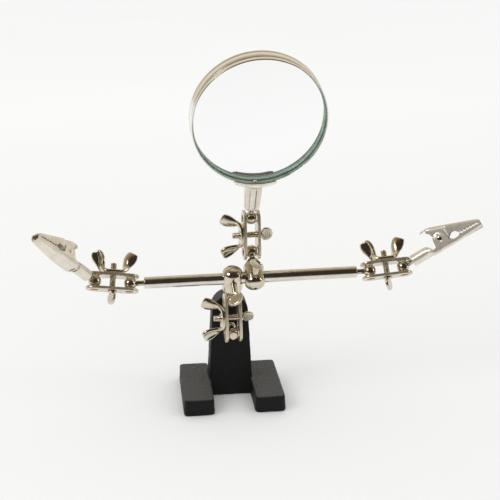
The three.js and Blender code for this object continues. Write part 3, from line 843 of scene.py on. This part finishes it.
def build_sliders():
    for name, sign in (("carrier", 1), ("magnifier_slider", -1)):
        spin = f"{name}_thumb_screw_spin"
        up = axis(f"{name}_roll") * sign
        back = -axis(spin)
        at = local_frame(place(spin), up, back.cross(up))
        node = f"{name}_barrel"
        settle(barrel_piece(node + "_look"), at, name, node, "bright_nickel", bright_nickel, sharp=45)
        screw_at = at @ turn(90, "X") @ turn(THUMB_TURN[name], "Z")
        node = f"{name}_thumb_screw"
        screw = thumb_piece(node + "_look", THUMB_REACH[name])
        settle(screw, screw_at, node, node, "bright_nickel", bright_nickel, sharp=50)


# ---- Magnifier: ball at the origin, ring centre up Z, lens axis along Y ----


def ring_frame(at):
    """Frame of the ring: its middle at the origin, its axis up Z, the handle on the +Y side."""
    return at @ raised(LENS.centre) @ turn(-90, "X")


def build_ring(at):
    """Rolled band: a bead round both edges, a seat bead on each side of the lens, and a butt seam."""
    outer = LENS.ring
    inner = outer - LENS.wall
    half = LENS.half
    bead = 0.72
    band = outer - 0.3
    groove = -1.2
    profile = [(band, groove - 0.5), (band - 0.42, groove), (band, groove + 0.5)]
    profile += [(band, half - 2.2), (band - 0.06, half - 1.6)]
    profile += [(outer - bead + x, half - bead + z) for x, z in arc((0, 0), bead, -30, 205, 12)]
    seat = LENS.seat - LENS.edge - 0.1
    profile += [(inner, half - 1.7), (inner, seat), (inner - 0.5, seat), (inner - 0.65, seat - 0.15)]
    profile += [(inner - 0.65, seat - 0.5), (inner - 0.5, seat - 0.65), (inner, seat - 0.65)]
    profile += [(inner, -half + 0.12), (inner + 0.08, -half)]
    profile += [(band - 0.12, -half), (band, -half + 0.14)]
    ring = object_from("ring", hollow(profile, 120))
    seam = drafted_block(0.16, 6, 12, 0)
    seam_angle = 128
    to_seam = turn(seam_angle - 90, "Z") @ Matrix.Translation((0, outer, -6))
    cut_by(ring, moved(seam, to_seam))
    bake(ring)
    # The inner wall's faces get the dark green painted shade.
    inside = []
    for polygon in ring.data.polygons:
        radius = math.hypot(polygon.center.x, polygon.center.y)
        inside.append(radius < inner + 0.02 and abs(polygon.center.z) < half - 0.5)
    settle(ring, ring_frame(at), "magnifier", "magnifier_ring", "bright_nickel", ring_nickel, sharp=50)
    paint(ring, ring_inside_shade, inside)


def build_lens(at):
    radius = LENS.ring - LENS.wall - 0.2
    steps = 16
    profile = [(0.05, -LENS.edge - LENS.bulge)]
    for i in range(1, steps + 1):
        t = i / steps
        profile.append((radius * t, -LENS.edge - LENS.bulge * (1 - t * t)))
    profile += [(r, -z) for r, z in reversed(profile)]
    lens = object_from("lens", moved(lathe(profile, 96), raised(LENS.seat)))
    rim = [abs(polygon.normal.z) < 0.1 for polygon in lens.data.polygons]
    settle(lens, ring_frame(at), "magnifier", "magnifier_lens", "lens_glass", clear_glass, sharp=50)
    paint(lens, green_rim, rim)


def build_ferrule(at):
    """Rolled sheet handle: a tapering tube with lengthwise creases and a closed-in lower end."""
    creases = [(285, 0.75, 8), (240, 0.42, 9), (205, 0.35, 12), (330, 0.4, 10), (60, 0.4, 9), (120, 0.35, 12)]
    count = 96

    def ring(radius, z, depth):
        points = []
        for k in range(count):
            degrees = 360 * k / count
            dent = 0
            for place_degrees, amount, width in creases:
                away = abs((degrees - place_degrees + 180) % 360 - 180)
                dent += amount * max(0, 1 - away / width) ** 1.3
            r = radius - dent * depth
            angle = math.radians(degrees)
            points.append((r * math.cos(angle), r * math.sin(angle), z))
        return points

    bore, start, end = FERRULE.bore, FERRULE.start, FERRULE.end
    bottom, top = FERRULE.bottom, FERRULE.top
    rings = [ring(bore, start + 0.1, 0), ring(bore + 0.1, start, 0), ring(bottom - 1.2, start, 0.2)]
    rings += [ring(bottom - 0.55, start + 0.18, 0.5), ring(bottom - 0.12, start + 0.9, 0.8)]
    steps = 13
    for i in range(1, steps):
        t = i / steps
        radius = mix(bottom, top, smooth(t * 1.1))
        rings.append(ring(radius, mix(start + 0.9, end, t), 1 - 0.35 * smooth((t - 0.7) / 0.3)))
    rings += [ring(top - 0.05, end - 0.12, 0.6), ring(top - 0.3, end, 0.5)]
    rings += [ring(bore + 0.1, end, 0), ring(bore, end - 0.1, 0)]
    ferrule = object_from("ferrule", skin(rings, wrap=True))
    settle(ferrule, at, "magnifier", "magnifier_ferrule", "satin_nickel", satin_nickel, sharp=45)


def build_saddle(at):
    """Folded saddle that holds the ring: two lips joined by a strap, curled ends, a tang into the handle."""
    half = LENS.half + 0.25 + SADDLE.sheet / 2
    outside = SADDLE.outside - SADDLE.sheet / 2

    def lip(edge, strap, flare):
        """Half a section, from a lip's edge to the strap: (radius, distance from the middle)."""
        return [
            (edge, half + flare),
            (mix(edge, strap, 0.35), half + 0.1 + flare),
            (mix(edge, strap, 0.7), half + 0.02),
            (strap - 0.35, half - 0.02),
            (strap, half - 0.4),
            (strap, half / 2),
        ]

    rows = []
    steps = 26
    for i in range(steps + 1):
        t = 2 * i / steps - 1
        angle = math.radians(-90 + SADDLE.angle * t)
        end = smooth((abs(t) - 0.82) / 0.18)
        strap = outside + 0.4 * (1 - abs(t)) - 0.35 * end
        front = lip(mix(SADDLE.front_lip, strap - 1.2, end), strap, 0.35 * end)
        back = lip(mix(SADDLE.back_lip, strap - 1.9, end), strap, 0.35 * end)
        section = [(r, -y) for r, y in front] + [(strap, 0)] + back[::-1]
        rows.append([(r * math.cos(angle), y, LENS.centre + r * math.sin(angle)) for r, y in section])
    saddle = object_from("saddle", sheet(rows))
    thicken(saddle, SADDLE.sheet, 0)
    subdivide(saddle, 1)
    rivet_hole = lathe([(0.78, 15), (0.78, 24)], 20)
    cut_by(saddle, moved(rivet_hole, Matrix.Translation((0, -SADDLE.forward, 0))))
    bake(saddle)
    tang = object_from("tang", moved(drafted_block(2.6, 2.2, 7, 0.1), raised(12.4)))
    merged(saddle, tang)
    # The back lip's faces get the dark brown painted shade.
    on_back_lip = [polygon.center.y > LENS.half for polygon in saddle.data.polygons]
    settle(saddle, at, "magnifier", "magnifier_saddle", "satin_nickel", saddle_nickel, sharp=50)
    paint(saddle, back_lip_shade, on_back_lip)


def build_saddle_rivet(at):
    head_face = LENS.centre - LENS.ring + LENS.wall + 0.05
    tail = LENS.centre - SADDLE.outside
    profile = [(0.6, tail), (0.7, tail + 0.1), (0.7, head_face), (1.1, head_face), (1.1, head_face + 0.2)]
    profile += [(0.95, head_face + 0.4), (0.6, head_face + 0.53), (0.1, head_face + 0.58)]
    rivet = object_from("rivet", moved(lathe(profile, 24), Matrix.Translation((0, -SADDLE.forward, 0))))
    settle(rivet, at, "magnifier", "magnifier_rivet", "bright_nickel", bright_nickel)


def build_magnifier():
    up = axis("magnifier_roll")
    across = thin_axis("magnifier_lens")
    at = local_frame(place("magnifier_pitch"), up, across.cross(up))
    build_ring(at)
    build_lens(at)
    build_ferrule(at)
    build_saddle(at)
    build_saddle_rivet(at)


# ---- Alligator clips: ball at the origin, jaws up Z, lever on the +Y side ----


def teeth(z, start, end):
    """How far the edge is cut back between teeth."""
    if z < start or z > end:
        return 0.0
    phase = ((z - start) / TOOTH.pitch) % 1
    return TOOTH.depth * (1 - abs(2 * phase - 1))


def jaw_half(z):
    """Half the jaw's width, narrowing from the taper to the tip."""
    return straight_curve([(CLIP.taper, CLIP.half), (CLIP.tip, CLIP.tip_half)], z)


def clip_pivot():
    """Turns a shape drawn along Z to lie along the clip's pivot."""
    return Matrix.Translation((0, CLIP.pivot_y, CLIP.pivot_z)) @ turn(90, "Y")


def steps_from(start, step, count):
    return [start + step * k for k in range(count)]


def jaw_section(z):
    """Half widths and heights of the jaw's sheet at one place, from the top of a wall round to the other."""
    half = jaw_half(z)
    away = z - CLIP.pivot_z
    ear = CLIP.pivot_y + math.sqrt(max(CLIP.ear ** 2 - away**2, 0)) if abs(away) < CLIP.ear else -9
    rim = straight_curve([
        (CLIP.channel, -0.3), (18.6, 0.2), (19.4, 1.2), (25.2, 0.9), (26.2, -0.1), (27.4, -0.95),
        (29.6, -0.95), (31.0, 0.05), (CLIP.tip, -0.42),
    ], z)
    rim = max(rim, ear) - teeth(z, 31.4, 41.0)
    floor = straight_curve([(30.0, CLIP.floor), (CLIP.tip, CLIP.floor + 0.7)], z)
    fold = 0.7
    wall = half - 0.02
    side = [(wall, mix(rim, floor + fold, t)) for t in (0, 0.35, 0.7, 1)]
    side += [(half - fold * 0.3, floor + fold * 0.3), (half - fold, floor), (half * 0.35, floor)]
    return side


def barrel_section(z):
    """The same run of points rolled nearly into a tube, its seam on the +Y side."""
    points = []
    gap = mix(7, 12, smooth((z - 10) / 3))
    for k in range(7):
        angle = math.radians(90 - gap - (180 - gap) * k / 7)
        points.append((CLIP.barrel * math.cos(angle), CLIP.barrel * math.sin(angle)))
    return points


def jaw_piece(name):
    """Stamped lower jaw: a toothed channel whose rear end is rolled into the crimp barrel."""
    stations = [CLIP.start, CLIP.start + 0.25] + steps_from(CLIP.start + 0.9, 0.9, 8)
    stations += steps_from(CLIP.barrel_end, 0.5, 9) + steps_from(17.8, 0.4, 34)
    stations += steps_from(31.4, 0.4, 25) + [41.4, CLIP.tip]
    rows = []
    for z in sorted(set(round(station, 3) for station in stations)):
        open_out = smooth((z - CLIP.barrel_end) / (CLIP.channel - CLIP.barrel_end))
        right = []
        for (xa, ya), (xb, yb) in zip(barrel_section(z), jaw_section(max(z, CLIP.channel))):
            right.append((mix(xa, xb, open_out), mix(ya, yb, open_out)))
        left = [(-x, y) for x, y in reversed(right)]
        middle = (0, mix(-CLIP.barrel, CLIP.floor, open_out))
        rows.append([(x, y, z) for x, y in right + [middle] + left])
    jaw = object_from(name, sheet(rows))
    thicken(jaw, CLIP.sheet, 1)
    lances = []
    for start in (14.6, 16.3):
        pip = lathe([(1.2, -3.3), (1.2, -2.2)], 20)
        bite = [(point[0] * 1.5, point[2], point[1] * 0.45) for point in pip[0]]
        lances.append(([(x, y, z + start) for x, y, z in bite], pip[1]))
    cut_by(jaw, moved(lathe([(0.9, -6), (0.9, 6)], 24), clip_pivot()), *lances)
    bevel(jaw, 0.06, 1, 50)
    return jaw


def lever_section(z):
    """Half widths and heights of the lever's sheet at one place, from a wall's edge round over the top."""
    widening = smooth((z - CLIP.taper - 0.2) / 0.9)
    half = mix(CLIP.lever_half, jaw_half(z) - 0.04, widening)
    top = straight_curve([
        (15.2, CLIP.top - 0.25), (16.2, CLIP.top + 0.05), (19.6, CLIP.top), (40.6, 1.35), (CLIP.tip, 0.45),
    ], z)
    away = z - CLIP.pivot_z
    hang = CLIP.pivot_y - math.sqrt(max(2.3**2 - away**2, 0)) if abs(away) < 2.3 else 20
    rim = straight_curve([
        (17.6, CLIP.top - 0.2), (18.4, 8.0), (19.2, 5.6), (20.3, 3.2), (24.2, 1.4), (26.2, 1.15),
        (27.4, 2.35), (29.6, 2.35), (31.0, 0.32), (CLIP.tip, -0.18),
    ], z)
    rim = min(rim, hang) + teeth(z, 30.6, 40.2)
    rim = min(rim, top - 0.35)
    pad = smooth((18.2 - z) / 1.2)
    pad_half = 2.3 * math.sqrt(max(1 - max((17.5 - z) / 2.32, 0) ** 2, 0.08))
    half = mix(half, pad_half, pad)
    rim = mix(rim, top - 0.12, pad)
    fold = min(0.7, (top - rim) * 0.5)
    side = [(half, mix(rim, top - fold, t)) for t in (0, 0.4, 0.8, 1)]
    side += [(half - fold * 0.3, top - fold * 0.3), (half - fold, top), (half * 0.35, top)]
    dish = -0.35 * pad
    return side, dish


def lever_piece(name):
    """Stamped upper jaw and thumb lever: an inverted toothed channel with a dished pad at its rear."""
    stations = [15.24, 15.4, 15.65, 16.0, 16.5] + steps_from(17.0, 0.4, 35)
    stations += steps_from(31.0, 0.4, 25) + [41.2, 41.5, CLIP.tip]
    rows = []
    for z in sorted(set(round(station, 3) for station in stations)):
        right, dish = lever_section(z)
        inner_x, inner_y = right.pop()
        right.append((inner_x, inner_y + dish * 0.8))
        left = [(-x, y) for x, y in reversed(right)]
        rows.append([(x, y, z) for x, y in right + [(0, inner_y + dish)] + left])
    lever = object_from(name, sheet(rows))
    thicken(lever, CLIP.sheet, 1, even=False)
    cut_by(lever, moved(lathe([(0.9, -6), (0.9, 6)], 24), clip_pivot()))
    bevel(lever, 0.06, 1, 50)
    return lever


def rivet_piece(name):
    face = CLIP.half + 0.08
    profile = [(0.3, -face - 0.55), (0.9, -face - 0.5), (1.3, -face - 0.3), (1.4, -face), (0.8, -face)]
    profile += [(radius, -z) for radius, z in reversed(profile)]
    return object_from(name, moved(lathe(profile, 28), clip_pivot()))


def spring_piece(name):
    """Torsion spring round the rivet, a leg under the lever and a leg on the jaw's floor."""
    coil, half_span, wire = SPRING.coil, SPRING.half_span, SPRING.wire
    start, end = 100, 100 + 360 * SPRING.turns + 140
    points = [Vector((-half_span, CLIP.top - 1.05, CLIP.channel + 0.4))]
    steps = 90
    for i in range(steps + 1):
        t = i / steps
        angle = math.radians(mix(start, end, t))
        height = CLIP.pivot_y + coil * math.sin(angle)
        along = CLIP.pivot_z + coil * math.cos(angle)
        points.append(Vector((mix(-half_span, half_span, t), height, along)))
    points.append(Vector((half_span, CLIP.floor + CLIP.sheet + 0.5, CLIP.channel + 0.7)))
    rings = []
    side = Vector((1, 0, 0))
    for index, point in enumerate(points):
        run = (points[min(index + 1, len(points) - 1)] - points[max(index - 1, 0)]).normalized()
        side = (side - run * side.dot(run)).normalized()
        other = run.cross(side)
        rings.append([point + side * x + other * y for x, y, z in circle(wire, 0, 10)])
    return object_from(name, skin(rings))


def build_clips():
    for side in ("left", "right"):
        roll, body = f"{side}_clip_roll", f"{side}_clip"
        at = local_frame(place(roll), axis(roll), -axis(f"{side}_clip_opening"))
        parts = [
            ("jaw", jaw_piece, body, "satin_nickel", satin_nickel, 50),
            ("lever", lever_piece, f"{body}_lever", "satin_nickel", satin_nickel, 50),
            ("rivet", rivet_piece, body, "bright_nickel", bright_nickel, 38),
            ("spring", spring_piece, body, "spring_steel", spring_wire, 38),
        ]
        for part, make, rides_on, slot, material, sharp in parts:
            node = f"{body}_{part}"
            settle(make(node + "_look"), at, rides_on, node, slot, material, sharp)


# ---- Floor, light and camera ----


def build_floor():
    """A pale sweep with painted shade close to the object, where it is a little darker; mirrors see it end in
    the dark room in front.
    """
    nodes = Nodes(bpy.data.materials.new("pale_floor"))
    depth = nodes.along_y(-1, 2)
    # Painted shade: the floor's grey darkens towards the object.
    near_shade_greys = [(0.28, (0.79, 0.79, 0.785)), (0.37, (0.81, 0.81, 0.805)), (0.6, (0.905, 0.905, 0.9))]
    tone = nodes.ramp(depth, near_shade_greys)
    mottle = nodes.ramp(nodes.noise(2, 2), [(0.3, 0.985), (0.7, 1.0)])
    tone = nodes.blend(1, tone, mottle, "MULTIPLY")
    front = nodes.ramp(depth, [(0.18, (0.06, 0.05, 0.04)), (0.30, (1, 1, 1))])
    mirrored = nodes.blend(1, tone, front, "MULTIPLY")
    nodes.set("Base Color", nodes.blend(nodes.mirror_rays(), tone, mirrored))
    nodes.set("Roughness", 0.9)
    nodes.set("Specular IOR Level", 0.0)
    floor = object_from("floor", sheet([[(-9, -9, 0), (9, -9, 0)], [(-9, 9, 0), (9, 9, 0)]]))
    floor.location.z = -0.0001
    floor.data.materials.append(nodes.owner)
    floor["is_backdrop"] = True


def build_world():
    """A white room for diffuse light; mirrors see dark behind the camera, and pale behind the object."""
    world = bpy.data.worlds.new("studio")
    bpy.context.scene.world = world
    nodes = Nodes(world, "Background", "Generated")
    stops = [
        (0.0, (0.04, 0.03, 0.021)),
        (0.31, (0.04, 0.03, 0.021)),
        (0.42, (0.18, 0.15, 0.088)),
        (0.55, (0.36, 0.3, 0.2)),
        (0.72, (0.55, 0.48, 0.36)),
        (0.83, (0.78, 0.73, 0.65)),
        (0.92, (0.66, 0.6, 0.47)),
        (1.0, (0.5, 0.44, 0.3)),
    ]
    mirrored = nodes.ramp(nodes.along_y(-1, 1), stops)
    nodes.set("Color", nodes.blend(nodes.mirror_rays(), (1.03, 1.03, 1.03), mirrored))


def build_lights():
    for name, (location, size, power, colour) in LIGHTS.items():
        lamp = bpy.data.lights.new(name, "AREA")
        lamp.shape = "RECTANGLE"
        lamp.size, lamp.size_y = size
        lamp.energy = power
        lamp.color = colour
        light = bpy.data.objects.new(name, lamp)
        light.location = location
        aim = Vector(LIGHTS_TARGET) - Vector(location)
        light.rotation_euler = aim.to_track_quat("-Z", "Y").to_euler()
        bpy.context.scene.collection.objects.link(light)
        light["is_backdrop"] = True


def build_camera():
    """Camera just left of the front, looking down a little."""
    azimuth, elevation = math.radians(CAMERA.azimuth), math.radians(CAMERA.elevation)
    target = Vector(CAMERA_TARGET) * MM
    back = Vector((
        math.sin(azimuth) * math.cos(elevation),
        -math.cos(azimuth) * math.cos(elevation),
        math.sin(elevation),
    ))
    lens = bpy.data.cameras.new("camera")
    lens.lens = CAMERA.lens
    lens.sensor_width = CAMERA.sensor
    lens.clip_start = 0.01
    camera = bpy.data.objects.new("camera", lens)
    camera.location = target + back * CAMERA.distance
    camera.rotation_euler = (-back).to_track_quat("-Z", "Y").to_euler()
    bpy.context.scene.collection.objects.link(camera)
    bpy.context.scene.camera = camera


build_base()
build_studs()
build_clamps()
build_rod()
build_sliders()
build_magnifier()
build_clips()
build_floor()
build_world()
build_lights()
build_camera()
bpy.context.scene.view_settings.view_transform = "Standard"


def plain(bounds):
    """Bounds as plain lists of numbers."""
    if isinstance(bounds, dict):
        return {key: plain(value) for key, value in bounds.items()}
    if isinstance(bounds, (int, float, str)):
        return bounds
    return [plain(value) for value in bounds]


{"at_load": plain(bounds_at_load), "at_finish": plain(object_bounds())}
